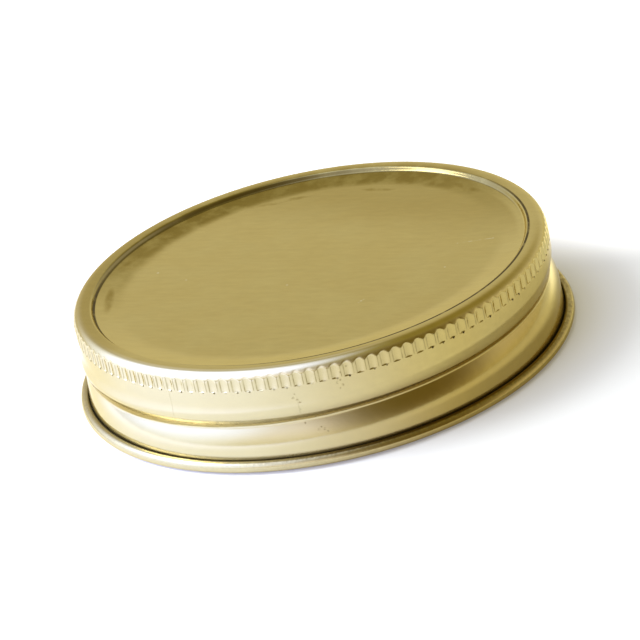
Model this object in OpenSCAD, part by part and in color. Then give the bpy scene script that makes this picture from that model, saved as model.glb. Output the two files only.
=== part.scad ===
// Screw lid for a wide-mouth jar, rolled from one sheet of lacquered tinplate, with its sealing ring.
// It stands on its curled edge with the closed end up. The thread's axis is Z, and Z = 0 is the curl's foot.

/* [Sheet] */
// Thickness of the tinplate
sheet_t = 0.24; // [0.2:0.01:0.3]

/* [Skirt] */
// Outside diameter of the knurled band of the skirt
skirt_d = 70; // [58:0.2:90]
// Height of the lid, from the foot of its curl to the top of its rim
height = 14.6; // [14.4:0.1:20]
// How far the skirt stands out below the knurled band, on the radius
belly = 0.3; // [0.1:0.05:0.5]
// Height where the skirt starts to swell out to its belly
belly_top = 9.8; // [9:0.1:10.5]
// Height over which it reaches the belly
belly_run = 2.4; // [1:0.1:3]
// How far the skirt flares out past the belly, on the radius, where it runs into the curl
flare = 0.15; // [0.05:0.05:0.6]
// Height of the flared stretch of the skirt
flare_h = 3; // [1:0.1:4]

/* [Curl] */
// Diameter of the rolled edge
curl_d = 1.6; // [1.4:0.05:2.4]
// Gap between the sheet's tucked edge and the skirt
curl_gap = 0.06; // [0.02:0.01:0.2]

/* [Rim and panel] */
// Outside radius of the bend between the skirt and the rim
shoulder_r = 1; // [0.8:0.1:2]
// Width of the raised rim, from the skirt's outside to the edge of its step
rim_w = 2.85; // [2.6:0.05:5]
// Height of the step inside the rim
step_h = 0.6; // [0.3:0.05:1]
// Run of the step, which keeps its side off the vertical
step_run = 0.35; // [0.2:0.05:0.8]
// Radius of the bends at the step
step_r = 0.4; // [0.3:0.05:0.6]
// Width of the sloping band between the step and the flat panel
slope_w = 3.6; // [1.5:0.1:5]
// Fall of that band towards the panel
slope_drop = 0.45; // [0.1:0.05:0.8]
// Radius of the soft bend where the band runs out into the panel
panel_bend_r = 12; // [2:1:16]

/* [Knurling] */
// Number of flutes round the skirt
flute_count = 126; // [60:1:140]
// Angle of the first flute from +X, which only turns the whole pattern
flute_from = 1.8; // [0:0.1:2.7]
// Height of the flutes below the shoulder's tangent line, down to their square lower ends
flute_low = 1.8; // [1.5:0.1:3]
// Width of one flute at the skirt's surface
flute_w = 1.15; // [0.8:0.05:1.2]
// Depth of a flute
flute_depth = 0.24; // [0.1:0.02:0.24]

/* [Thread] */
// Rise of the thread in one turn
thread_pitch = 5.08; // [4:0.01:5.2]
// Depth of the rolled groove, which is the height of the thread inside
thread_depth = 1.1; // [0.5:0.05:1.2]
// Width of the groove along the axis
thread_w = 5.8; // [4:0.1:5.8]
// Height of the groove's upper lip where the thread starts
thread_low = 7.7; // [7.7:0.05:7.8]
// Angle round the lid where the thread starts
thread_from = 170; // [0:5:355]
// Angle that the thread runs round, its two fading ends included
thread_arc = 260; // [180:5:260]
// How far down the groove's width its deepest line lies, as a share of that width
thread_skew = 0.45; // [0.3:0.05:0.6]
// Angle over which each end of the thread fades out
thread_fade = 35; // [20:1:60]

/* [Sealing ring] */
// Thickness of the sealing compound under the step
seal_t = 0.5; // [0.3:0.05:0.8]
// How far the compound reaches inside the step
seal_in = 0.9; // [0.5:0.1:2]
// Clearance between the ring and the fluted skirt
seal_gap = 0.04; // [0.02:0.01:0.1]

/* [Hidden] */
$fn = 180;

skirt_r = skirt_d / 2;
foot_r = skirt_r + belly + flare;
curl_r = curl_d / 2;
// The sheet comes down on the curl's inner side, so the curl's centre follows from the foot of the skirt.
curl_x = foot_r - sheet_t + curl_r;
curl_end = 180 - acos(1 - (sheet_t + curl_gap) / curl_r);
rim_in_r = skirt_r - rim_w;
step_in_r = rim_in_r - step_run;
panel_r = step_in_r - slope_w;
panel_z = height - step_h - slope_drop;
seal_r = skirt_r - sheet_t - flute_depth - seal_gap;
seal_z = height - step_h - sheet_t - seal_t;
seal_in_r = step_in_r - seal_in;
flute_bottom = height - shoulder_r - flute_low;
// The roller's radius, from the width and depth of the flute that it leaves
flute_r = (pow(flute_w / 2, 2) + pow(flute_depth, 2)) / (2 * flute_depth);
flute_x = skirt_r - flute_depth + flute_r;
// Where the bend of the shoulder comes in by a flute's depth, which closes the flute in an arch
flute_arch = height - shoulder_r + sqrt(pow(shoulder_r, 2) - pow(shoulder_r - flute_depth, 2));
thread_steps = ceil(thread_arc / 5);
belly_steps = 5;
flare_steps = 4;
// Points across the groove, as shares of its width: the upper flank, then the lower one
groove_points = concat(
    [for (i = [0:3]) thread_skew * i / 4],
    [for (i = [0:4]) thread_skew + (1 - thread_skew) * i / 4]);
groove_n = len(groove_points);
// How quickly the lower flank's ledge rounds over into the foot
ledge_power = 2.2;
// The form's edges run this far off the skirt, so that the groove's own edges are cut cleanly.
form_lift = 0.04;
// How far the form's far side stands off the skirt
form_depth = 1;

// Runs from 0 to 1 without a kink, as t does
function eased(t) = let (c = max(0, min(1, t))) c * c * (3 - 2 * c);

// Outside radius of the plain skirt at a height, with its belly and its flare at the foot
function skirt_at(z) = skirt_r
    + belly * eased((belly_top - z) / belly_run)
    + flare * pow(max(0, 1 - (z - curl_r) / flare_h), 2);

function unit(v) = v / norm(v);
function left_of(v) = [-v.y, v.x];

// The arc that rounds the corner b of the path a-b-c
function corner(a, b, c, r) =
    let (u = unit(b - a), v = unit(c - b), turn = acos(u * v))
    turn < 0.5 || r == 0 ? [b] :
    let (
        side = sign(u.x * v.y - u.y * v.x),
        back = r * tan(turn / 2),
        centre = b - back * u + side * r * left_of(u),
        steps = max(2, ceil(turn / 10)))
    [for (i = [0:steps])
        let (t = turn * i / steps)
        centre - side * r * (cos(t) * left_of(u) - side * sin(t) * u)];

// Rounds every inner corner of a path of [x, y, radius]
function rounded(path) =
    [for (i = [0:len(path) - 1])
        let (b = [path[i].x, path[i].y])
        each i == 0 || i == len(path) - 1 ? [b] :
            corner([path[i - 1].x, path[i - 1].y], b, [path[i + 1].x, path[i + 1].y], path[i][2])];

// The same path moved sideways by t, to its right
function beside(path, t) =
    [for (i = [0:len(path) - 1])
        let (
            u = unit(path[max(i, 1)] - path[max(i, 1) - 1]),
            v = unit(path[min(i, len(path) - 2) + 1] - path[min(i, len(path) - 2)]),
            n = unit(left_of(u) + left_of(v)))
        path[i] - t / (n * left_of(u)) * n];

// Outer face of the sheet, from the middle of the panel over the rim and down to the belly
top_path = rounded([
    [0, panel_z, 0],
    [panel_r, panel_z, panel_bend_r],
    [step_in_r, panel_z + slope_drop, step_r],
    [rim_in_r, height, step_r],
    [skirt_r, height, shoulder_r],
    [skirt_r, belly_top, 0]]);
foot_levels = concat(
    [for (i = [1:belly_steps]) belly_top - belly_run * i / belly_steps],
    [for (i = [0:flare_steps]) curl_r + flare_h * (1 - i / flare_steps)]);
foot_path = [for (z = foot_levels) [skirt_at(z), z]];
// The curl turns the sheet's outer face inwards, so this line runs inside the roll.
curl_path = [for (i = [1:24])
    let (a = 180 + (180 + curl_end) * i / 24)
    [curl_x, curl_r] + (curl_r - sheet_t) * [cos(a), sin(a)]];
sheet_path = concat(top_path, foot_path, curl_path);
inner_path = beside(sheet_path, sheet_t);

// The sheet's section turned round the axis, still without knurling or thread
module plain_shell() {
    back = [for (i = [len(inner_path) - 1:-1:1]) inner_path[i]];
    rotate_extrude()
        polygon(concat(sheet_path, back, [[0, panel_z - sheet_t]]));
}

// What the knurling roller presses in
module flutes() {
    for (i = [0:flute_count - 1])
        rotate(flute_from + 360 * i / flute_count)
            translate([flute_x, 0, flute_bottom])
                cylinder(r = flute_r, h = height - flute_bottom);
}

// The metal that stands in behind the flutes, so that the sheet keeps its thickness
module flute_backs() {
    for (i = [0:flute_count - 1])
        rotate(flute_from + 360 * i / flute_count)
            intersection() {
                translate([flute_x, 0, flute_bottom - sheet_t])
                    cylinder(r = flute_r + sheet_t, h = flute_arch - flute_bottom);
                // Each back ends flat in the middle of the sheet.
                translate([0, -flute_w, 0])
                    cube([skirt_r - sheet_t / 2, 2 * flute_w, height]);
            }
}

// Depth of the groove across its width: both flanks start softly and meet at its deepest line
function groove(u) = u < thread_skew ?
    1 - cos(90 * u / thread_skew) :
    pow((1 - u) / (1 - thread_skew), ledge_power);

// 0 at the thread's ends and 1 along its full depth
function fading(a) = eased(min(a, thread_arc - a) / thread_fade);

// Cross-section of the thread's form after the turn a: its near side, then its far side. The
// pressing form's far side stands off the skirt; the swollen form's stays in the middle of the sheet.
function thread_ring(a, swell) =
    let (
        b = thread_from + a,
        top = thread_low + thread_pitch * a / 360 + swell / 2,
        levels = [for (u = groove_points) top - (thread_w + swell) * u],
        near = [for (k = [0:groove_n - 1])
            skirt_at(levels[k]) + form_lift - swell
                - (thread_depth + form_lift) * fading(a) * groove(groove_points[k])],
        far = [for (z = levels) skirt_at(z) + (swell > 0 ? -sheet_t / 2 : form_depth)])
    concat(
        [for (k = [0:groove_n - 1]) [near[k] * cos(b), near[k] * sin(b), levels[k]]],
        [for (k = [groove_n - 1:-1:0]) [far[k] * cos(b), far[k] * sin(b), levels[k]]]);

// The form that the thread roller presses into the skirt, as one helical bar
module thread_form(swell = 0) {
    n = 2 * groove_n;
    rings = [for (i = [0:thread_steps]) thread_ring(thread_arc * i / thread_steps, swell)];
    sides = [for (i = [0:thread_steps - 1], k = [0:n - 1])
        let (
            a = i * n + k,
            b = i * n + (k + 1) % n)
        each [[a, b, b + n], [a, b + n, a + n]]];
    // Each end cap is a ladder between the near and the far side, which holds on a curved skirt.
    first = [for (k = [0:groove_n - 2])
        each [[k, n - 2 - k, k + 1], [k, n - 1 - k, n - 2 - k]]];
    last = [for (f = first) [for (k = [2:-1:0]) thread_steps * n + f[k]]];
    polyhedron(
        points = [for (ring = rings) each ring],
        faces = concat(sides, first, last),
        convexity = 6);
}

module shell() {
    color("#b7a566")
        difference() {
            union() {
                plain_shell();
                flute_backs();
                thread_form(sheet_t);
            }
            flutes();
            thread_form();
        }
}

// The compound fills the channel under the rim, up against the sheet, and thins out inside the step
module sealing_ring() {
    run = [for (i = [0:6]) let (a = 15 * i) [seal_in_r + seal_t * (1 - cos(a)), seal_z + seal_t * (1 - sin(a))]];
    room = concat([[0, 0]], [for (i = [0:len(top_path) - 1]) inner_path[i]], [[skirt_r - sheet_t, 0]]);
    color("#d8d2bf")
        rotate_extrude()
            intersection() {
                polygon(concat([[seal_in_r, height]], run, [[seal_r, seal_z], [seal_r, height]]));
                polygon(room);
            }
}

shell();
sealing_ring();
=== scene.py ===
import math
import bpy
import numpy as np
from mathutils import Matrix, Vector


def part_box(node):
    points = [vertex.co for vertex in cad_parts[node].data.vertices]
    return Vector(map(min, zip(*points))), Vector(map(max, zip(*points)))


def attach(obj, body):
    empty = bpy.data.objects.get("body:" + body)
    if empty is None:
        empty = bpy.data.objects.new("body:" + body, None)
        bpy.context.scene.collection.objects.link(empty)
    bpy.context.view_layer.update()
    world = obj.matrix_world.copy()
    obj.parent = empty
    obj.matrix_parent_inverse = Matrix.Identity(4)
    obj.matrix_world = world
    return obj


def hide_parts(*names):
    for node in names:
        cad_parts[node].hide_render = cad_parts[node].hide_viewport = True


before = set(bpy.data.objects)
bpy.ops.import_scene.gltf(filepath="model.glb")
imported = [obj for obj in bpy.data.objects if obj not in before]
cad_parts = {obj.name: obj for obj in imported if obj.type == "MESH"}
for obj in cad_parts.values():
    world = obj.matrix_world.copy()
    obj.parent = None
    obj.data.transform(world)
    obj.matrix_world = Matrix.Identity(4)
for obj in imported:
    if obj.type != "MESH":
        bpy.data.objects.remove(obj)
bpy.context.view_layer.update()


# ==== Pressed shell ====
# One disc of tinplate, 0.24 mm thick and lacquered gold on both faces, drawn into a cap. Its rim is
# stepped up, its skirt is knurled and rolled with the thread, and its raw edge is curled outwards.

MM = 0.001
shell_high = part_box("shell")[1]
sheet = 0.24
height = shell_high[2] / MM
curl_r = 0.8
curl_gap = 0.06
belly = 0.3
flare, flare_h = 0.15, 3.0
skirt_r = shell_high[0] / MM - 2 * curl_r + sheet - flare - belly
shoulder_r = 1.4
rim_in = skirt_r - 2.85
step_in = rim_in - 0.35
step_h = 0.6
step_r = 0.4
panel_r = step_in - 3.6
panel_z = height - step_h - 0.45
curl_x = skirt_r + belly + flare - sheet + curl_r


def arc_at(a, b, c, radius, turn_step):
    """Points of the arc that rounds corner b of the line a-b-c."""
    a, b, c = np.array(a), np.array(b), np.array(c)
    u = (b - a) / np.linalg.norm(b - a)
    v = (c - b) / np.linalg.norm(c - b)
    turn = math.acos(np.clip(u @ v, -1, 1))
    side = 1 if u[0] * v[1] - u[1] * v[0] > 0 else -1
    centre = b - radius * math.tan(turn / 2) * u + side * radius * np.array([-u[1], u[0]])
    steps = max(3, math.ceil(turn / math.radians(turn_step)))
    points = []
    for k in range(steps + 1):
        t = turn * k / steps
        left = math.cos(t) * np.array([-u[1], u[0]]) - side * math.sin(t) * u
        points.append(tuple(centre - side * radius * left))
    return points


def flared(z):
    """Radius of the skirt below its knurled band, with the flare at its foot but no belly yet."""
    return skirt_r + flare * max(0.0, 1 - (z - curl_r) / flare_h) ** 2


# The sheet's outer face as a line of (radius, height), from the panel's middle to the flared foot.
panel_bend = arc_at((0, panel_z), (panel_r, panel_z), (step_in, height - step_h), 12.0, 1.0)
step_foot = arc_at((panel_r, panel_z), (step_in, height - step_h), (rim_in, height), step_r, 9)
step_top = arc_at((step_in, height - step_h), (rim_in, height), (skirt_r, height), step_r, 9)
shoulder = arc_at((rim_in, height), (skirt_r, height), (skirt_r, 5.0), shoulder_r, 9)
flute_low = 11.72
plain_top = 11.3
foot_z = curl_r

panel_line = [(r, panel_z) for r in (6.0, 12.0, 18.0, 23.0, 26.0)] + panel_bend + step_foot + step_top
shoulder_line = [(33.3, height)] + shoulder
flute_line = [(skirt_r, z) for z in np.linspace(height - shoulder_r - 0.1, 12.1, 5)]
flute_line += [(skirt_r, z) for z in (12.0, 11.91, 11.87, 11.82, 11.77, 11.72, 11.6)]
thread_line = [(flared(z), z) for z in np.arange(plain_top, foot_z, -0.18)] + [(flared(foot_z), foot_z)]
roll = 2 * math.pi - math.acos(1 - (sheet + curl_gap) / curl_r)
roll_angles = np.linspace(math.pi, math.pi + roll, 25)
roll_in = curl_r - sheet
roll_inner = [(curl_x + roll_in * math.cos(a), curl_r + roll_in * math.sin(a)) for a in roll_angles]
roll_outer = [(curl_x + curl_r * math.cos(a), curl_r + curl_r * math.sin(a)) for a in roll_angles]

# Knurling: 126 hollows, each as a small round roller leaves it, closed in an arch by the shoulder.
flutes = 126
flute_turn = math.radians(1.8)
flute_depth = 0.24
flute_half = 0.68


def smooth_min(a, b, soft):
    """The smaller of a and b, with the crossing rounded over about `soft`."""
    h = np.clip(0.5 + 0.5 * (b - a) / soft, 0, 1)
    return b + (a - b) * h - soft * h * (1 - h)


def fluted(r, z, angle, back):
    """Radius of the sheet at a height where the knurling roller has pressed it."""
    pitch = 2 * math.pi / flutes
    across = (np.mod(angle - flute_turn + pitch / 2, pitch) - pitch / 2) * skirt_r
    sunk = skirt_r - flute_depth * (1 - np.abs(across / flute_half) ** 1.7)
    taper = np.clip((12.9 - z) / 1.2, 0, 1)
    sunk = sunk + 0.12 * taper * taper
    end = np.clip((z - flute_low) / 0.18, 0, 1)
    sunk = sunk + (1 - end * end * (3 - 2 * end)) * (flute_depth + 0.12)
    return smooth_min(r, sunk - back, 0.035)


# Thread: a right-hand groove that a roller has pressed in. Its upper flank starts softly, its lower
# one is a steep ledge that rounds over into the foot, and both its ends fade out.
thread_from = math.radians(170)
thread_turn = math.radians(260)
thread_fade = math.radians(35)
thread_rise = 5.08 / (2 * math.pi)
thread_lip = 7.55
thread_w = 5.8
thread_skew = 0.45
thread_depth = 1.1
belly_top = 9.8
belly_run = 2.4


def eased(t):
    """Runs from 0 to 1 without a kink, as t does."""
    c = np.clip(t, 0, 1)
    return c * c * (3 - 2 * c)


def threaded(r, z, angle, swell):
    """Radius of the sheet where the thread roller has pressed it in."""
    a = np.mod(angle - thread_from, 2 * math.pi)
    lip = thread_lip + thread_rise * a
    wall = r + belly * eased((belly_top - z) / belly_run)
    u = np.clip((lip + swell / 2 - z) / (thread_w + swell), 0, 1)
    above = (u / thread_skew) ** 1.15
    below = ((1 - u) / (1 - thread_skew)) ** 1.55
    form = np.where(u < thread_skew, above, below)
    return wall - thread_depth * form * eased(np.minimum(a, thread_turn - a) / thread_fade)


def moved_in(line, by):
    """The line of the sheet's other face, `by` to the right of the given one."""
    p = np.array(line, dtype=float)
    d = np.diff(p, axis=0)
    d /= np.linalg.norm(d, axis=1)[:, None]
    left = np.column_stack([-d[:, 1], d[:, 0]])
    a = np.vstack([left[:1], left])
    b = np.vstack([left, left[-1:]])
    n = a + b
    n /= np.linalg.norm(n, axis=1)[:, None]
    return [tuple(q) for q in p - by / (n * a).sum(axis=1)[:, None] * n]


shell_points = []
shell_faces = []


def ring_row(r, z, count, form=None):
    """Adds one ring of points round the axis and gives back its indices."""
    angle = np.arange(count) * 2 * math.pi / count
    radius = np.full(count, float(r))
    if form is not None:
        radius = form(radius, z, angle)
    start = len(shell_points)
    for a, q in zip(angle, radius):
        shell_points.append((q * math.cos(a), q * math.sin(a), z))
    return list(range(start, start + count))


def join_rows(a, b):
    """Faces between two rings; where one has more points, each face takes several of them."""
    if len(a) == 1 or len(b) == 1:
        tip, ring = (a[0], b) if len(a) == 1 else (b[0], a)
        for k in range(len(ring)):
            pair = [ring[k], ring[(k + 1) % len(ring)]]
            shell_faces.append([tip] + pair if len(a) == 1 else [tip] + pair[::-1])
        return
    n = min(len(a), len(b))
    ka, kb = len(a) // n, len(b) // n
    for k in range(n):
        near = [a[(k * ka + i) % len(a)] for i in range(ka + 1)]
        far = [b[(k * kb + i) % len(b)] for i in range(kb + 1)]
        shell_faces.append(far + near[::-1])


def outer_flute(r, z, angle):
    return fluted(r, z, angle, 0.0)


def outer_thread(r, z, angle):
    return threaded(r, z, angle, 0.0)


def inner_flute(r, z, angle):
    return fluted(r, z + sheet / 2, angle, sheet)


def inner_thread(r, z, angle):
    return threaded(r, z, angle, sheet)


rows = [[0]]
shell_points.append((0.0, 0.0, panel_z))
for r, z in panel_line:
    rows.append(ring_row(r, z, 252))
for r, z in shoulder_line + flute_line:
    rows.append(ring_row(r, z, 1512, outer_flute if z < height - 0.05 else None))
for r, z in thread_line:
    rows.append(ring_row(r, z, 378, outer_thread))
for r, z in roll_inner[1::3]:
    rows.append(ring_row(r, z, 189))
for r, z in roll_outer[::-1]:
    rows.append(ring_row(r, z, 189))

back_line = moved_in([(flared(z), z) for z in np.arange(foot_z + 0.25, plain_top + 0.1, 0.35)], -sheet)
for r, z in back_line:
    rows.append(ring_row(r, z, 189, inner_thread))
for z in (11.45, 11.6, 11.75, 11.9, 12.3, 12.7, 13.05):
    rows.append(ring_row(skirt_r - sheet, z, 756, inner_flute))
face_line = [(0.0, panel_z)] + panel_line + shoulder_line
face_line = moved_in(face_line, sheet)
bend_back = face_line[-len(shoulder):]
for r, z in bend_back[::-1]:
    rows.append(ring_row(r, z, 756, inner_flute if z < height - sheet - 0.05 else None))
for r, z in face_line[1:-len(shoulder)][::-1]:
    rows.append(ring_row(r, z, 252))
shell_points.append((0.0, 0.0, panel_z - sheet))
rows.append([len(shell_points) - 1])
for a, b in zip(rows, rows[1:]):
    join_rows(a, b)

shell_mesh = bpy.data.meshes.new("pressed_shell")
shell_mesh.from_pydata([(x * MM, y * MM, z * MM) for x, y, z in shell_points], [], shell_faces)
shell_mesh.polygons.foreach_set("use_smooth", [True] * len(shell_mesh.polygons))
shell_mesh.validate()
shell = bpy.data.objects.new("pressed_shell", shell_mesh)
bpy.context.scene.collection.objects.link(shell)

lacquer = bpy.data.materials.new("gold_lacquer_on_tin")
lacquer.use_nodes = True


def put(tree, kind, wires, **settings):
    """Adds a node to a tree, sets it up, and wires or fills its sockets."""
    node = tree.nodes.new("ShaderNode" + kind)
    for name, value in settings.items():
        setattr(node, name, value)
    for socket, value in wires.items():
        if isinstance(value, bpy.types.NodeSocket):
            tree.links.new(value, node.inputs[socket])
        else:
            node.inputs[socket].default_value = value
    return node


def work(tree, operation, *values):
    """The result of one sum on numbers or sockets."""
    return put(tree, "Math", dict(enumerate(values)), operation=operation).outputs[0]


def span_of(tree, value, low, high, soft=True, to=(0.0, 1.0)):
    """Runs between the two `to` values while the socket runs from low to high."""
    wires = {"Value": value, "From Min": low, "From Max": high, "To Min": to[0], "To Max": to[1]}
    kind = "SMOOTHSTEP" if soft else "LINEAR"
    return put(tree, "MapRange", wires, interpolation_type=kind).outputs["Result"]


# A film laid on wet is never quite even: this group gives its thick and thin places, which the lacquer
# and the sealing compound both have, as so many lumps per millimetre, turned and then stretched.
film = bpy.data.node_groups.new("uneven_film", "ShaderNodeTree")
for name, kind in (
    ("Place", "Vector"),
    ("Turn", "Vector"),
    ("Stretch", "Vector"),
    ("Lumps per mm", "Float"),
    ("Detail", "Float"),
    ("Roughness", "Float"),
):
    film.interface.new_socket(name, in_out="INPUT", socket_type="NodeSocket" + kind)
film.interface.new_socket("Thickness", in_out="OUTPUT", socket_type="NodeSocketFloat")
film_in = film.nodes.new("NodeGroupInput").outputs
film_turned = put(film, "Mapping", {"Vector": film_in["Place"], "Rotation": film_in["Turn"]}).outputs[0]
film_laid = put(film, "Mapping", {"Vector": film_turned, "Scale": film_in["Stretch"]}).outputs[0]
film_wires = {"Vector": film_laid, "Scale": film_in["Lumps per mm"]}
film_wires.update({"Detail": film_in["Detail"], "Roughness": film_in["Roughness"]})
film_noise = put(film, "TexNoise", film_wires).outputs["Fac"]
film.links.new(film_noise, film.nodes.new("NodeGroupOutput").inputs["Thickness"])


def grain(tree, where, scale, detail=3.0, rough=0.5, stretch=(1, 1, 1), turn=(0, 0, 0)):
    """Places the uneven film's group in a tree, with its own values."""
    placed = tree.nodes.new("ShaderNodeGroup")
    placed.node_tree = film
    tree.links.new(where, placed.inputs["Place"])
    placed.inputs["Turn"].default_value = turn
    placed.inputs["Stretch"].default_value = stretch
    placed.inputs["Lumps per mm"].default_value = scale
    placed.inputs["Detail"].default_value = detail
    placed.inputs["Roughness"].default_value = rough
    return placed.outputs["Thickness"]


def blend(tree, factor, under, over, kind="MIX"):
    """Lays one colour on another."""
    wires = {"Factor": factor, 6: under, 7: over}
    return put(tree, "Mix", wires, data_type="RGBA", blend_type=kind).outputs[2]


tin = lacquer.node_tree
tin_place = put(tin, "TexCoord", {}).outputs["Object"]
tin_mm = put(tin, "VectorMath", {0: tin_place, "Scale": 1000.0}, operation="SCALE").outputs[0]
tin_xyz = put(tin, "SeparateXYZ", {0: tin_mm}).outputs
tin_flat = put(tin, "VectorMath", {0: tin_mm, 1: (1, 1, 0)}, operation="MULTIPLY").outputs[0]
tin_out = put(tin, "VectorMath", {0: tin_flat}, operation="LENGTH").outputs["Value"]
tin_turn = work(tin, "ARCTAN2", tin_xyz["Y"], tin_xyz["X"])
tin_high = tin_xyz["Z"]

# The mill's rolling lines run across the whole disc; the lacquer is a little uneven over them.
rolling = grain(tin, tin_flat, 1.5, 4.0, 0.6, (0.035, 1, 1), (0, 0, math.radians(28)))
cloud = grain(tin, tin_mm, 0.12, 4.0, 0.55, (1, 1, 1))
mottle = grain(tin, tin_mm, 1.1, 4.0, 0.6, (0.35, 1, 1), (0, 0, math.radians(28)))
fine = grain(tin, tin_mm, 7.0, 3.0, 0.6)
tone = work(tin, "ADD", work(tin, "MULTIPLY", rolling, 0.1), work(tin, "MULTIPLY", mottle, 0.2))
tone = work(tin, "ADD", tone, work(tin, "MULTIPLY", cloud, 0.14))
tone = work(tin, "ADD", tone, 0.78)
gold = blend(tin, span_of(tin, cloud, 0.3, 0.7), (0.585, 0.49, 0.2, 1), (0.575, 0.492, 0.21, 1))
gold = put(tin, "VectorMath", {0: gold, "Scale": tone}, operation="SCALE").outputs[0]

# Painted highlight: round the thread's valley the colour is painted paler,
# most on the left where the light falls.
groove_turn = work(tin, "MODULO", work(tin, "ADD", tin_turn, 4 * math.pi - thread_from), 2 * math.pi)
groove_start = thread_lip - thread_skew * thread_w
groove_high = work(tin, "ADD", work(tin, "MULTIPLY", groove_turn, thread_rise), groove_start)
groove_away = work(tin, "ABSOLUTE", work(tin, "SUBTRACT", tin_high, groove_high))
painted_groove_highlight = work(tin, "MULTIPLY", span_of(tin, groove_away, 1.8, 0.4), span_of(tin, groove_turn, 0.2, 0.7))
painted_groove_highlight = work(tin, "MULTIPLY", painted_groove_highlight, span_of(tin, groove_turn, thread_turn, thread_turn - 0.5))
painted_groove_highlight = work(tin, "MULTIPLY", painted_groove_highlight, span_of(tin, groove_turn, 2.0, 0.9, to=(0.15, 0.8)))
gold = blend(tin, painted_groove_highlight, gold, (0.62, 0.58, 0.42, 1))


def band(value, middle, full, gone):
    """One within `full` of the middle, nothing beyond `gone`."""
    away = work(tin, "ABSOLUTE", work(tin, "SUBTRACT", value, middle))
    return span_of(tin, away, gone, full)


def along_way(place, way):
    """How far a flat place lies along a direction."""
    return put(tin, "VectorMath", {0: place, 1: way}, operation="DOT_PRODUCT").outputs["Value"]


def broken(mask, scale, low, high, least=0.0):
    """Breaks a mask up into patches, full in some places and fainter in others."""
    patches = span_of(tin, grain(tin, tin_mm, scale, 4.0, 0.6), low, high, to=(least, 1.0))
    return work(tin, "MULTIPLY", mask, patches)


# Painted shade: a fine dark line along the foot of the rim's step, mostly at the front, a dark one in
# the crease above the curl, and dark dots at the lower ends of the knurls.
step_line = work(tin, "MULTIPLY", work(tin, "COSINE", work(tin, "ADD", tin_turn, 0.61)), 0.38)
step_line = work(tin, "SUBTRACT", work(tin, "SUBTRACT", tin_out, step_line), 32.1)
painted_step_shade = broken(band(step_line, 0.0, 0.11, 0.24), 0.4, 0.3, 0.5, 0.6)
painted_step_shade = work(tin, "MULTIPLY", painted_step_shade, span_of(tin, tin_high, 13.6, 13.8))
to_back = work(tin, "SINE", tin_turn)
painted_step_shade = work(tin, "MULTIPLY", painted_step_shade, span_of(tin, to_back, 0.6, 0.1, to=(0.25, 1.0)))
painted_crease_shade = work(tin, "MULTIPLY", band(tin_high, 0.9, 0.4, 0.75), band(tin_out, 35.47, 0.05, 0.2))
painted_crease_shade = broken(painted_crease_shade, 0.4, 0.25, 0.5, 0.8)
knurl_turn = work(tin, "ADD", tin_turn, 2 * math.pi - flute_turn - 0.006)
knurl_share = work(tin, "FRACT", work(tin, "MULTIPLY", knurl_turn, flutes / (2 * math.pi)))
knurl_pitch = 2 * math.pi * skirt_r / flutes
knurl_across = work(tin, "MULTIPLY", work(tin, "SUBTRACT", knurl_share, 0.5), knurl_pitch)
knurl_across = work(tin, "SUBTRACT", work(tin, "ABSOLUTE", knurl_across), knurl_pitch / 2)
knurl_end = work(tin, "SUBTRACT", tin_high, flute_low + 0.06)
knurl_away = put(tin, "CombineXYZ", {0: knurl_across, 1: knurl_end}).outputs[0]
knurl_away = put(tin, "VectorMath", {0: knurl_away}, operation="LENGTH").outputs["Value"]
painted_knurl_end_shade = span_of(tin, knurl_away, 0.2, 0.09)
painted_knurl_end_shade = broken(painted_knurl_end_shade, 0.35, 0.42, 0.6)
# Painted shade: a dark band on the step, strongest at the back.
painted_step_back_shade = work(tin, "MULTIPLY", band(tin_out, 31.9, 0.2, 0.32), span_of(tin, tin_high, 13.6, 13.8))
painted_step_back_shade = work(tin, "MULTIPLY", painted_step_back_shade, span_of(tin, to_back, -0.1, 0.4, to=(0, 0.9)))
painted_step_back_shade = broken(painted_step_back_shade, 0.3, 0.2, 0.5, 0.75)
painted_crease_edge_shade = work(tin, "MULTIPLY", band(tin_high, 1.2, 0.5, 1.0), band(tin_out, 35.45, 0.2, 0.45))
painted_crease_shade = work(tin, "MAXIMUM", painted_crease_shade, work(tin, "MULTIPLY", painted_crease_edge_shade, 0.45))
painted_shade = work(tin, "MAXIMUM", work(tin, "MAXIMUM", painted_step_shade, painted_crease_shade), painted_knurl_end_shade)

# Darker streaks along the panel's slope.
streaks_and_painted_shade = 0.0
for x, y, turn, length, width in (
    (-24.5, 17.5, 0.85, 9.0, 1.5),
    (-2.0, 26.6, -0.05, 10.5, 1.3),
    (13.0, 22.6, -0.55, 6.5, 1.0),
    (25.5, 15.5, -1.0, 8.0, 1.2),
    (-29.4, 4.0, 1.45, 6.0, 1.0),
):
    from_streak = put(tin, "VectorMath", {0: tin_flat, 1: (x, y, 0)}, operation="SUBTRACT").outputs[0]
    way_along = (math.cos(turn) / length, math.sin(turn) / length, 0)
    way_beside = (-math.sin(turn) / width, math.cos(turn) / width, 0)
    s_along = along_way(from_streak, way_along)
    s_beside = along_way(from_streak, way_beside)
    s_away = put(tin, "CombineXYZ", {0: s_along, 1: s_beside}).outputs[0]
    s_away = put(tin, "VectorMath", {0: s_away}, operation="LENGTH").outputs["Value"]
    streaks_and_painted_shade = work(tin, "MAXIMUM", streaks_and_painted_shade, span_of(tin, s_away, 1.0, 0.2))
streaks_and_painted_shade = broken(streaks_and_painted_shade, 0.35, 0.3, 0.65, 0.35)
streaks_and_painted_shade = work(tin, "MULTIPLY", streaks_and_painted_shade, span_of(tin, tin_out, 32.0, 31.6))
streaks_and_painted_shade = work(tin, "MULTIPLY", streaks_and_painted_shade, span_of(tin, tin_high, 13.2, 13.4))
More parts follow.
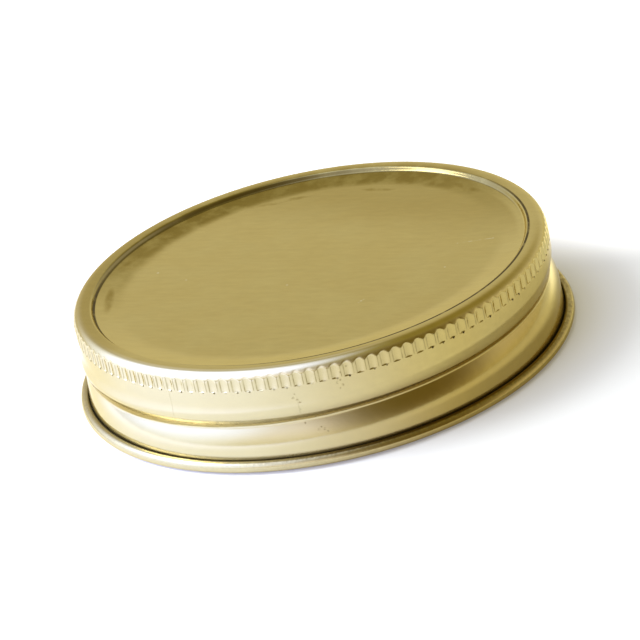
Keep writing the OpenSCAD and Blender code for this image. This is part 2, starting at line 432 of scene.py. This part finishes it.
# The tones from here to the painted highlight on the skirt's right were set to match one view of a real
# lid, and under other light they can look like stains. They are painted shade and painted highlight for
# what that lid mirrored: the slope and panel painted darker towards the back, and the rim on the left.
behind = work(tin, "COSINE", work(tin, "SUBTRACT", tin_turn, 1.6))
behind = work(tin, "MULTIPLY", band(tin_out, 30.4, 1.3, 4.0), span_of(tin, behind, 0.0, 0.8))
behind = broken(behind, 0.3, 0.3, 0.6, 0.45)
streaks_and_painted_shade = work(tin, "MAXIMUM", streaks_and_painted_shade, work(tin, "MULTIPLY", behind, span_of(tin, tin_high, 13.2, 13.4)))
deeper = span_of(tin, along_way(tin_flat, (0.6, 0.8, 0)), 9.0, 24.0, to=(0, 0.45))
deeper = work(tin, "MULTIPLY", deeper, span_of(tin, tin_out, 31.2, 30.2))
rim_deeper = span_of(tin, work(tin, "COSINE", work(tin, "SUBTRACT", tin_turn, 2.8)), 0.55, 0.95, to=(0, 0.6))
rim_deeper = work(tin, "MULTIPLY", rim_deeper, band(tin_out, 33.5, 1.0, 1.5))
deeper = work(tin, "MAXIMUM", deeper, rim_deeper)
deeper = work(tin, "MULTIPLY", deeper, span_of(tin, tin_high, 13.2, 13.4))
streaks_and_painted_shade = work(tin, "MAXIMUM", streaks_and_painted_shade, deeper)
gold = blend(tin, streaks_and_painted_shade, gold, (0.56, 0.5, 0.33, 1), "MULTIPLY")

# Painted shade: browner round the skirt's right, away from the light, most of all below the thread's lip.
painted_shade_right = span_of(tin, work(tin, "COSINE", work(tin, "ADD", tin_turn, 1.05)), 0.55, 0.98)
painted_shade_right = work(tin, "MULTIPLY", painted_shade_right, span_of(tin, tin_out, 32.6, 34.2))
gold = blend(tin, work(tin, "MULTIPLY", painted_shade_right, 0.9), gold, (0.8, 0.72, 0.5, 1), "MULTIPLY")
painted_shade_under_lip = work(tin, "MULTIPLY", painted_shade_right, span_of(tin, tin_high, 8.6, 7.0))
gold = blend(tin, painted_shade_under_lip, gold, (0.84, 0.78, 0.6, 1), "MULTIPLY")

# Painted highlight: paler on the other side, on a stretch of the rim and,
# a little, where the skirt faces right.
painted_rim_highlight = span_of(tin, work(tin, "COSINE", work(tin, "ADD", tin_turn, 2.4)), 0.2, 0.95)
painted_rim_highlight = work(tin, "MULTIPLY", painted_rim_highlight, span_of(tin, tin_out, 33.2, 34.4))
gold = blend(tin, work(tin, "MULTIPLY", painted_rim_highlight, 0.5), gold, (0.6, 0.56, 0.42, 1))
rim_pale = span_of(tin, work(tin, "COSINE", work(tin, "ADD", tin_turn, 2.0)), 0.72, 0.97)
rim_pale = work(tin, "MULTIPLY", rim_pale, band(tin_out, 34.2, 0.5, 1.1))
rim_pale = work(tin, "MULTIPLY", rim_pale, span_of(tin, tin_high, 13.6, 14.1))
gold = blend(tin, work(tin, "MULTIPLY", rim_pale, 0.8), gold, (0.86, 0.8, 0.61, 1))
painted_skirt_highlight = span_of(tin, work(tin, "COSINE", work(tin, "ADD", tin_turn, 0.02)), 0.94, 0.995)
painted_skirt_highlight = work(tin, "MULTIPLY", painted_skirt_highlight, band(tin_high, 5.5, 2.5, 4.2))
painted_skirt_highlight = work(tin, "MULTIPLY", painted_skirt_highlight, span_of(tin, tin_out, 33.2, 34.0))
gold = blend(tin, work(tin, "MULTIPLY", painted_skirt_highlight, 0.3), gold, (0.62, 0.58, 0.42, 1))

# The curl is darker and speckled, most of all on its right: a speckled stain all round,
# with painted shade making its right side darkest.
curl_side = span_of(tin, work(tin, "COSINE", work(tin, "ADD", tin_turn, 0.55)), -0.4, 0.8)
curl_skin = work(tin, "MULTIPLY", span_of(tin, tin_out, 35.35, 35.7), span_of(tin, tin_high, 1.9, 1.6))
curl_skin = work(tin, "MULTIPLY", curl_skin, span_of(tin, tin_out, 36.75, 36.4, to=(0.25, 1.0)))
curl_skin = work(tin, "MULTIPLY", curl_skin, span_of(tin, tin_high, 0.15, 0.5))
curl_skin = broken(curl_skin, 2.2, 0.35, 0.65, 0.4)
curl_stain_and_shade = blend(tin, curl_side, (0.42, 0.37, 0.24, 1), (0.17, 0.125, 0.04, 1))
gold = blend(tin, work(tin, "MULTIPLY", curl_skin, 0.85), gold, curl_stain_and_shade)

# Knocks: specks and a scratch in the panel's lacquer, nicks and two fine upright lines on the skirt.
skirt_place = put(tin, "CombineXYZ", {0: work(tin, "MULTIPLY", tin_turn, 35.0), 1: tin_high}).outputs[0]


def spots(where, places, start):
    """One inside any of the round spots, each given as (x, y, size)."""
    found = start
    for x, y, size in places:
        away = put(tin, "VectorMath", {0: where, 1: (x, y, 0)}, operation="DISTANCE").outputs["Value"]
        found = work(tin, "MAXIMUM", found, span_of(tin, away, size, size * 0.4))
    return found


panel_specks = [(-21.9, 10.1, 0.22), (-17.9, 5.2, 0.16), (-3.6, -4.7, 0.18), (6.1, -15.8, 0.2)]
panel_specks += [(6.5, -15.5, 0.12), (18.8, -10.8, 0.16), (5.7, -16.2, 0.1), (21.6, -3.6, 0.12)]
panel_specks += [(26.7, -4.6, 0.16)]
speck = spots(tin_flat, panel_specks, 0.0)
from_scratch = put(tin, "VectorMath", {0: tin_flat, 1: (21.7, -3.6, 0)}, operation="SUBTRACT").outputs[0]
along = along_way(from_scratch, (0.98, -0.2, 0))
beside = along_way(from_scratch, (0.2, 0.98, 0))
scratch = work(tin, "MULTIPLY", band(beside, 0.0, 0.03, 0.09), band(along, 2.5, 2.3, 2.7))
speck = work(tin, "MAXIMUM", speck, broken(scratch, 1.2, 0.45, 0.6))
speck = work(tin, "MULTIPLY", speck, span_of(tin, tin_high, 13.2, 13.4))
gold = blend(tin, work(tin, "MULTIPLY", speck, 0.7), gold, (0.86, 0.83, 0.7, 1))

nick_places = [(-61.02, 10.2, 0.3), (-60.5, 9.8, 0.25), (-60.2, 9.45, 0.3), (-60.3, 8.4, 0.2)]
nick_places += [(-60.2, 5.9, 0.18), (-58.55, 6.7, 0.2), (-58.5, 4.8, 0.22), (-57.7, 4.8, 0.25)]
nick_places += [(-58.1, 5.1, 0.15), (-57.3, 4.4, 0.15), (-54.6, 11.2, 0.3), (-54.0, 10.7, 0.28)]
nick_places += [(-54.2, 11.5, 0.2), (-44.4, 1.5, 0.2), (-53.0, 13.2, 0.25)]
nick_places += [(-54.0, 12.6, 0.2), (-54.4, 10.3, 0.18), (-60.7, 10.7, 0.15)]
nick = spots(skirt_place, nick_places, 0.0)
nick = broken(nick, 3.0, 0.42, 0.52)
seam = work(tin, "MULTIPLY", band(tin_turn, -1.728, 0.001, 0.003), band(tin_high, 8.7, 1.4, 1.8))
seam_left = work(tin, "MULTIPLY", band(tin_turn, -2.27, 0.001, 0.003), band(tin_high, 10.2, 2.4, 3.0))
seam = work(tin, "MAXIMUM", broken(seam, 1.5, 0.4, 0.6, 0.3), broken(seam_left, 1.5, 0.4, 0.6, 0.2))
nick = work(tin, "MAXIMUM", nick, work(tin, "MULTIPLY", seam, 0.5))
nick = work(tin, "MULTIPLY", nick, span_of(tin, tin_out, 33.5, 33.8))
# Painted shade: a dark line along both edges of every knurl's hollow, broken into patches.
knurl_edge = band(work(tin, "ABSOLUTE", knurl_across), 0.64, 0.02, 0.12)
knurl_edge = work(tin, "MULTIPLY", knurl_edge, band(tin_high, 12.8, 0.7, 1.0))
knurl_edge = work(tin, "MULTIPLY", knurl_edge, span_of(tin, tin_out, 34.0, 34.3))
knurl_edge = broken(knurl_edge, 0.6, 0.3, 0.6, 0.4)
gold = blend(tin, work(tin, "MULTIPLY", knurl_edge, 0.75), gold, (0.24, 0.185, 0.065, 1))
gold = blend(tin, work(tin, "MULTIPLY", nick, 0.6), gold, (0.22, 0.17, 0.06, 1))
# Lays on the painted dark band of the step at the back.
gold = blend(tin, painted_step_back_shade, gold, (0.21, 0.165, 0.06, 1))
# The painted shade of the step, the crease and the knurl ends goes on nearly black.
colour = blend(tin, painted_shade, gold, (0.06, 0.04, 0.012, 1))
skin = tin.nodes["Principled BSDF"]
tin.links.new(colour, skin.inputs["Base Color"])
skin.inputs["Metallic"].default_value = 1.0
rough = work(tin, "ADD", work(tin, "MULTIPLY", mottle, 0.07), work(tin, "MULTIPLY", rolling, 0.05))
rough = work(tin, "ADD", rough, work(tin, "MULTIPLY", painted_shade, 0.3))
rough = work(tin, "ADD", rough, work(tin, "MULTIPLY", curl_skin, 0.12))
tin.links.new(work(tin, "ADD", rough, 0.09), skin.inputs["Roughness"])
skin.inputs["Specular Tint"].default_value = (0.8, 0.7, 0.42, 1)
skin.inputs["Coat Weight"].default_value = 0.25
skin.inputs["Coat Roughness"].default_value = 0.12
relief = work(tin, "ADD", work(tin, "MULTIPLY", mottle, 1.0), work(tin, "MULTIPLY", rolling, 0.6))
relief = work(tin, "ADD", relief, work(tin, "MULTIPLY", fine, 0.12))
relief = work(tin, "SUBTRACT", relief, work(tin, "MULTIPLY", nick, 2.0))
tin_bump = put(tin, "Bump", {"Strength": 0.5, "Distance": 0.00001, "Height": relief}).outputs[0]
tin.links.new(tin_bump, skin.inputs["Normal"])
shell_mesh.materials.append(lacquer)
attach(shell, "root")
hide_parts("shell")


# ==== Sealing ring ====
# A bead of cream compound, flowed wet into the channel under the rim and baked. It is what the
# jar's mouth presses into.

ring_low, ring_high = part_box("sealing_ring")
ring_out = ring_high[0] / MM
ring_in = step_in - 0.9
ring_z = ring_low[2] / MM
ring_count = 504
ring_rng = np.random.default_rng(7)
ring_angle = np.arange(ring_count) * 2 * math.pi / ring_count
ring_sway = np.zeros(ring_count)
for waves in (3, 5, 8, 13, 21, 34, 55):
    ring_sway += np.cos(waves * ring_angle + ring_rng.uniform(0, 6.3)) / waves ** 0.6
ring_sway /= np.abs(ring_sway).max()

# Its section, from its inner foot round under its face and up again along the sheet, as
# (radius, height, how far the wet edge wandered, how far the face is uneven).
under_sheet = height - step_h - sheet - 0.01
ring_line = []
for k in range(9):
    turn = math.radians(11.25 * k)
    edge = (ring_in + 0.04 + 0.5 * (1 - math.cos(turn)), ring_z + 0.5 * (1 - math.sin(turn)))
    ring_line.append(edge + (0.1 - 0.1 * k / 8, 0.02 * k / 8))
for q in (31.8, 32.2, 32.5, 32.8, 33.1, 33.4, 33.8, 34.1):
    dent = 0.05 * math.exp(-((q - 32.9) / 0.35) ** 2)
    ring_line.append((q, ring_z + 0.015 + dent, 0, 0.014))
ring_line += [(34.35, ring_z + 0.03, 0, 0.01), (ring_out - 0.01, ring_z + 0.12, 0, 0)]
ring_line += [(ring_out - 0.01, 13.85, 0, 0), (34.3, 14.15, 0, 0), (34.0, 14.3, 0, 0)]
ring_line += [(rim_in + 0.1, height - sheet - 0.03, 0, 0), (step_in - 0.1, under_sheet, 0, 0)]
ring_line += [(ring_in + 0.3, under_sheet, 0, 0)]
ring_points = []
for q, z, wander, rough_face in ring_line:
    for a, sway in zip(ring_angle, ring_sway):
        r = q + wander * sway
        face_z = z + rough_face * (0.5 + 0.5 * sway)
        ring_points.append((r * math.cos(a) * MM, r * math.sin(a) * MM, face_z * MM))
ring_faces = []
for row in range(len(ring_line)):
    lower, upper = row * ring_count, (row + 1) % len(ring_line) * ring_count
    for k in range(ring_count):
        n = (k + 1) % ring_count
        ring_faces.append((lower + k, lower + n, upper + n, upper + k))
ring_mesh = bpy.data.meshes.new("sealing_ring")
ring_mesh.from_pydata(ring_points, [], ring_faces)
ring_mesh.polygons.foreach_set("use_smooth", [True] * len(ring_mesh.polygons))
ring_object = bpy.data.objects.new("compound_bead", ring_mesh)
bpy.context.scene.collection.objects.link(ring_object)

compound = bpy.data.materials.new("sealing_compound")
compound.use_nodes = True
paste = compound.node_tree
paste_mm = put(paste, "TexCoord", {}).outputs["Object"]
paste_mm = put(paste, "VectorMath", {0: paste_mm, "Scale": 1000.0}, operation="SCALE").outputs[0]
paste_cloud = grain(paste, paste_mm, 0.25, 4.0, 0.6)
paste_fine = grain(paste, paste_mm, 3.0, 3.0, 0.6)
bubbles = put(paste, "TexVoronoi", {"Vector": paste_mm, "Scale": 0.9, "Randomness": 1.0})
bubble = span_of(paste, bubbles.outputs["Distance"], 0.16, 0.09)
few = put(paste, "SeparateColor", {0: bubbles.outputs["Color"]}).outputs[0]
bubble = work(paste, "MULTIPLY", bubble, span_of(paste, few, 0.7, 0.75))
cream = blend(paste, span_of(paste, paste_cloud, 0.35, 0.65), (0.66, 0.61, 0.48, 1), (0.72, 0.68, 0.56, 1))
# The bubbles' pits are painted darker, as shade in them.
cream = blend(paste, work(paste, "MULTIPLY", bubble, 0.5), cream, (0.4, 0.35, 0.25, 1))
paste_xyz = put(paste, "SeparateXYZ", {0: paste_mm}).outputs
paste_flat = put(paste, "VectorMath", {0: paste_mm, 1: (1, 1, 0)}, operation="MULTIPLY").outputs[0]
paste_out = put(paste, "VectorMath", {0: paste_flat}, operation="LENGTH").outputs["Value"]
pressed = span_of(paste, work(paste, "ABSOLUTE", work(paste, "SUBTRACT", paste_out, 32.9)), 0.5, 0.2)
cream = blend(paste, work(paste, "MULTIPLY", pressed, 0.3), cream, (0.5, 0.45, 0.33, 1))
rubber = paste.nodes["Principled BSDF"]
paste.links.new(cream, rubber.inputs["Base Color"])
paste.links.new(span_of(paste, paste_cloud, 0.3, 0.7, to=(0.42, 0.6)), rubber.inputs["Roughness"])
paste_relief = work(paste, "SUBTRACT", work(paste, "MULTIPLY", paste_fine, 0.3), bubble)
paste_bump = put(paste, "Bump", {"Strength": 0.5, "Distance": 0.00005, "Height": paste_relief}).outputs[0]
paste.links.new(paste_bump, rubber.inputs["Normal"])
ring_mesh.materials.append(compound)
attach(ring_object, "root")
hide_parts("sealing_ring")


# ==== Floor, light and camera ====
# A pale floor that glows a little, cooler and more on the left, with a bright patch behind the lid; a
# surround with broad light and dark patches, brighter than white in places; and one soft light. The
# patches began as a fit to one view and were then changed, so this isn't a plain studio light.

floor_mesh = bpy.data.meshes.new("floor")
floor_mesh.from_pydata([(-6, -6, 0), (6, -6, 0), (6, 6, 0), (-6, 6, 0)], [], [(0, 1, 2, 3)])
floor = bpy.data.objects.new("floor", floor_mesh)
floor.location.z = -0.0002
bpy.context.scene.collection.objects.link(floor)
paper = bpy.data.materials.new("pale_floor")
paper.use_nodes = True
paper.node_tree.nodes["Principled BSDF"].inputs["Base Color"].default_value = (0.78, 0.77, 0.69, 1)
paper.node_tree.nodes["Principled BSDF"].inputs["Roughness"].default_value = 0.9
paper.node_tree.nodes["Principled BSDF"].inputs["Specular IOR Level"].default_value = 0.0
paper_nodes, paper_links = paper.node_tree.nodes, paper.node_tree.links
path = paper_nodes.new("ShaderNodeLightPath")
seen = paper_nodes.new("ShaderNodeMath")
seen.operation = "MAXIMUM"
paper_links.new(path.outputs["Is Camera Ray"], seen.inputs[0])
seen_or_mirrored = paper_nodes.new("ShaderNodeMath")
seen_or_mirrored.operation = "MAXIMUM"
paper_links.new(path.outputs["Is Glossy Ray"], seen.inputs[1])
paper_links.new(seen.outputs[0], seen_or_mirrored.inputs[0])
paper_links.new(path.outputs["Is Transmission Ray"], seen_or_mirrored.inputs[1])
lift = paper_nodes.new("ShaderNodeMath")
lift.operation = "MULTIPLY"
paper_links.new(seen_or_mirrored.outputs[0], lift.inputs[0])
floor_place = paper_nodes.new("ShaderNodeSeparateXYZ")
paper_links.new(paper_nodes.new("ShaderNodeTexCoord").outputs["Object"], floor_place.inputs[0])
lit_side = paper_nodes.new("ShaderNodeMapRange")
lit_side.interpolation_type = "SMOOTHSTEP"
lit_side.inputs["From Min"].default_value = 0.05
lit_side.inputs["From Max"].default_value = -0.09
lit_side.inputs["To Min"].default_value = 0.09
lit_side.inputs["To Max"].default_value = 0.46
paper_links.new(floor_place.outputs["X"], lit_side.inputs["Value"])
patch_away = paper_nodes.new("ShaderNodeVectorMath")
patch_away.operation = "DISTANCE"
patch_away.inputs[1].default_value = (0.056, 0.04, 0)
paper_links.new(floor_place.inputs[0].links[0].from_socket, patch_away.inputs[0])
patch = paper_nodes.new("ShaderNodeMapRange")
patch.interpolation_type = "SMOOTHSTEP"
patch.inputs["From Min"].default_value = 0.036
patch.inputs["From Max"].default_value = 0.008
patch.inputs["To Max"].default_value = 1.1
paper_links.new(patch_away.outputs["Value"], patch.inputs["Value"])
lift_sum = paper_nodes.new("ShaderNodeMath")
paper_links.new(lit_side.outputs["Result"], lift_sum.inputs[0])
paper_links.new(patch.outputs["Result"], lift_sum.inputs[1])
paper_links.new(lift_sum.outputs[0], lift.inputs[1])
paper_links.new(lift.outputs[0], paper_nodes["Principled BSDF"].inputs["Emission Strength"])
cool = paper_nodes.new("ShaderNodeMix")
cool.data_type = "RGBA"
cool.inputs[6].default_value = (1, 1, 1, 1)
cool.inputs[7].default_value = (1, 1.2, 3.0, 1)
paper_links.new(cool.outputs[2], paper_nodes["Principled BSDF"].inputs["Emission Color"])
cool_share = paper_nodes.new("ShaderNodeMath")
cool_share.operation = "MULTIPLY_ADD"
cool_share.inputs[1].default_value = 2.4
cool_share.inputs[2].default_value = -0.3
cool_share.use_clamp = True
paper_links.new(lit_side.outputs["Result"], cool_share.inputs[0])
paper_links.new(cool_share.outputs[0], cool.inputs[0])
# From below the floor is clear, so that the inside of the lid can be looked at.
from_below = paper_nodes.new("ShaderNodeMixShader")
paper_links.new(paper_nodes.new("ShaderNodeNewGeometry").outputs["Backfacing"], from_below.inputs[0])
paper_links.new(paper_nodes["Principled BSDF"].outputs[0], from_below.inputs[1])
paper_links.new(paper_nodes.new("ShaderNodeBsdfTransparent").outputs[0], from_below.inputs[2])
paper_links.new(from_below.outputs[0], paper_nodes["Material Output"].inputs["Surface"])
floor_mesh.materials.append(paper)


def soft_light(name, centre, towards, width, depth, power, colour):
    """A flat soft light that aims at a point."""
    lamp = bpy.data.lights.new(name, "AREA")
    lamp.shape = "RECTANGLE"
    lamp.size = width
    lamp.size_y = depth
    lamp.energy = power
    lamp.color = colour
    lamp_object = bpy.data.objects.new(name, lamp)
    lamp_object.location = centre
    aim = Vector(towards) - Vector(centre)
    lamp_object.rotation_euler = aim.to_track_quat("-Z", "Y").to_euler()
    lamp_object.visible_camera = False
    bpy.context.scene.collection.objects.link(lamp_object)


world = bpy.data.worlds.new("surround")
bpy.context.scene.world = world
world.use_nodes = True
sky_nodes, sky_links = world.node_tree.nodes, world.node_tree.links
sky_way = sky_nodes.new("ShaderNodeTexCoord").outputs["Generated"]
sky_parts = sky_nodes.new("ShaderNodeSeparateXYZ")
sky_links.new(sky_way, sky_parts.inputs[0])
sky_rise = sky_nodes.new("ShaderNodeMapRange")
sky_rise.inputs["From Max"].default_value = 0.35
sky_links.new(sky_parts.outputs["Z"], sky_rise.inputs["Value"])


def sky_mix(factor, under, over):
    """The colour `over` laid on `under` where the factor is 1."""
    mix = sky_nodes.new("ShaderNodeMix")
    mix.data_type = "RGBA"
    sky_links.new(factor, mix.inputs["Factor"])
    for socket, value in ((mix.inputs["A"], under), (mix.inputs["B"], over)):
        if isinstance(value, tuple):
            socket.default_value = value + (1,)
        else:
            sky_links.new(value, socket)
    return mix.outputs["Result"]


def sky_patch(under, turn, rise_angle, full, gone, colour):
    """A round soft patch of light or shade, full and gone at these angles from its middle."""
    turn, rise_angle = math.radians(turn), math.radians(rise_angle)
    level_part = math.cos(rise_angle)
    middle = (math.sin(turn) * level_part, math.cos(turn) * level_part, math.sin(rise_angle))
    dot = sky_nodes.new("ShaderNodeVectorMath")
    dot.operation = "DOT_PRODUCT"
    dot.inputs[1].default_value = middle
    sky_links.new(sky_way, dot.inputs[0])
    soft = sky_nodes.new("ShaderNodeMapRange")
    soft.interpolation_type = "SMOOTHSTEP"
    soft.inputs["From Min"].default_value = math.cos(math.radians(gone))
    soft.inputs["From Max"].default_value = math.cos(math.radians(full))
    sky_links.new(dot.outputs["Value"], soft.inputs["Value"])
    return sky_mix(soft.outputs["Result"], under, colour)


sky = sky_mix(sky_rise.outputs["Result"], (1.12, 1.08, 0.85), (1.85, 1.86, 2.3))
sky = sky_patch(sky, 24, 79, 0, 110, (0.43, 0.375, 0.13))
sky = sky_patch(sky, 145, 27, 0, 52, (0.28, 0.22, 0.07))
sky = sky_patch(sky, -85, 42, 22, 60, (1.75, 1.95, 2.8))
sky_links.new(sky, world.node_tree.nodes["Background"].inputs["Color"])

soft_light("left_light", (-0.27, 0.03, 0.26), (0, 0, 0), 0.2, 0.2, 1.2, (0.96, 1.0, 1.06))

# The camera looks down by `tilt` and is turned by `lean`. Its place is in spans, the curl's outer radius,
# and was fitted. Its distance is a choice: 11 to 16 spans fit about equally well.
span = 0.0368
away, aside, above = 12.5, -0.02517, 0.09783
lens_widths = 3141.5 / 640
tilt = math.radians(24.479)
lean = math.radians(12.793)
back = Vector((0, -math.cos(tilt), math.sin(tilt)))
level = Vector((1, 0, 0))
rise = Vector((0, math.sin(tilt), math.cos(tilt)))
right = math.cos(lean) * level - math.sin(lean) * rise
up = math.sin(lean) * level + math.cos(lean) * rise
eye = Vector((0, 0, curl_r * MM)) + span * (away * back + aside * right + above * up)
lens = bpy.data.cameras.new("camera")
lens.sensor_width = 36
lens.lens = lens_widths * lens.sensor_width
lens.clip_start = 0.01
camera = bpy.data.objects.new("camera", lens)
turned = Matrix((right, up, back)).transposed().to_4x4()
camera.matrix_world = Matrix.Translation(eye) @ turned
bpy.context.scene.collection.objects.link(camera)
bpy.context.scene.camera = camera
bpy.context.scene.view_settings.view_transform = "Standard"
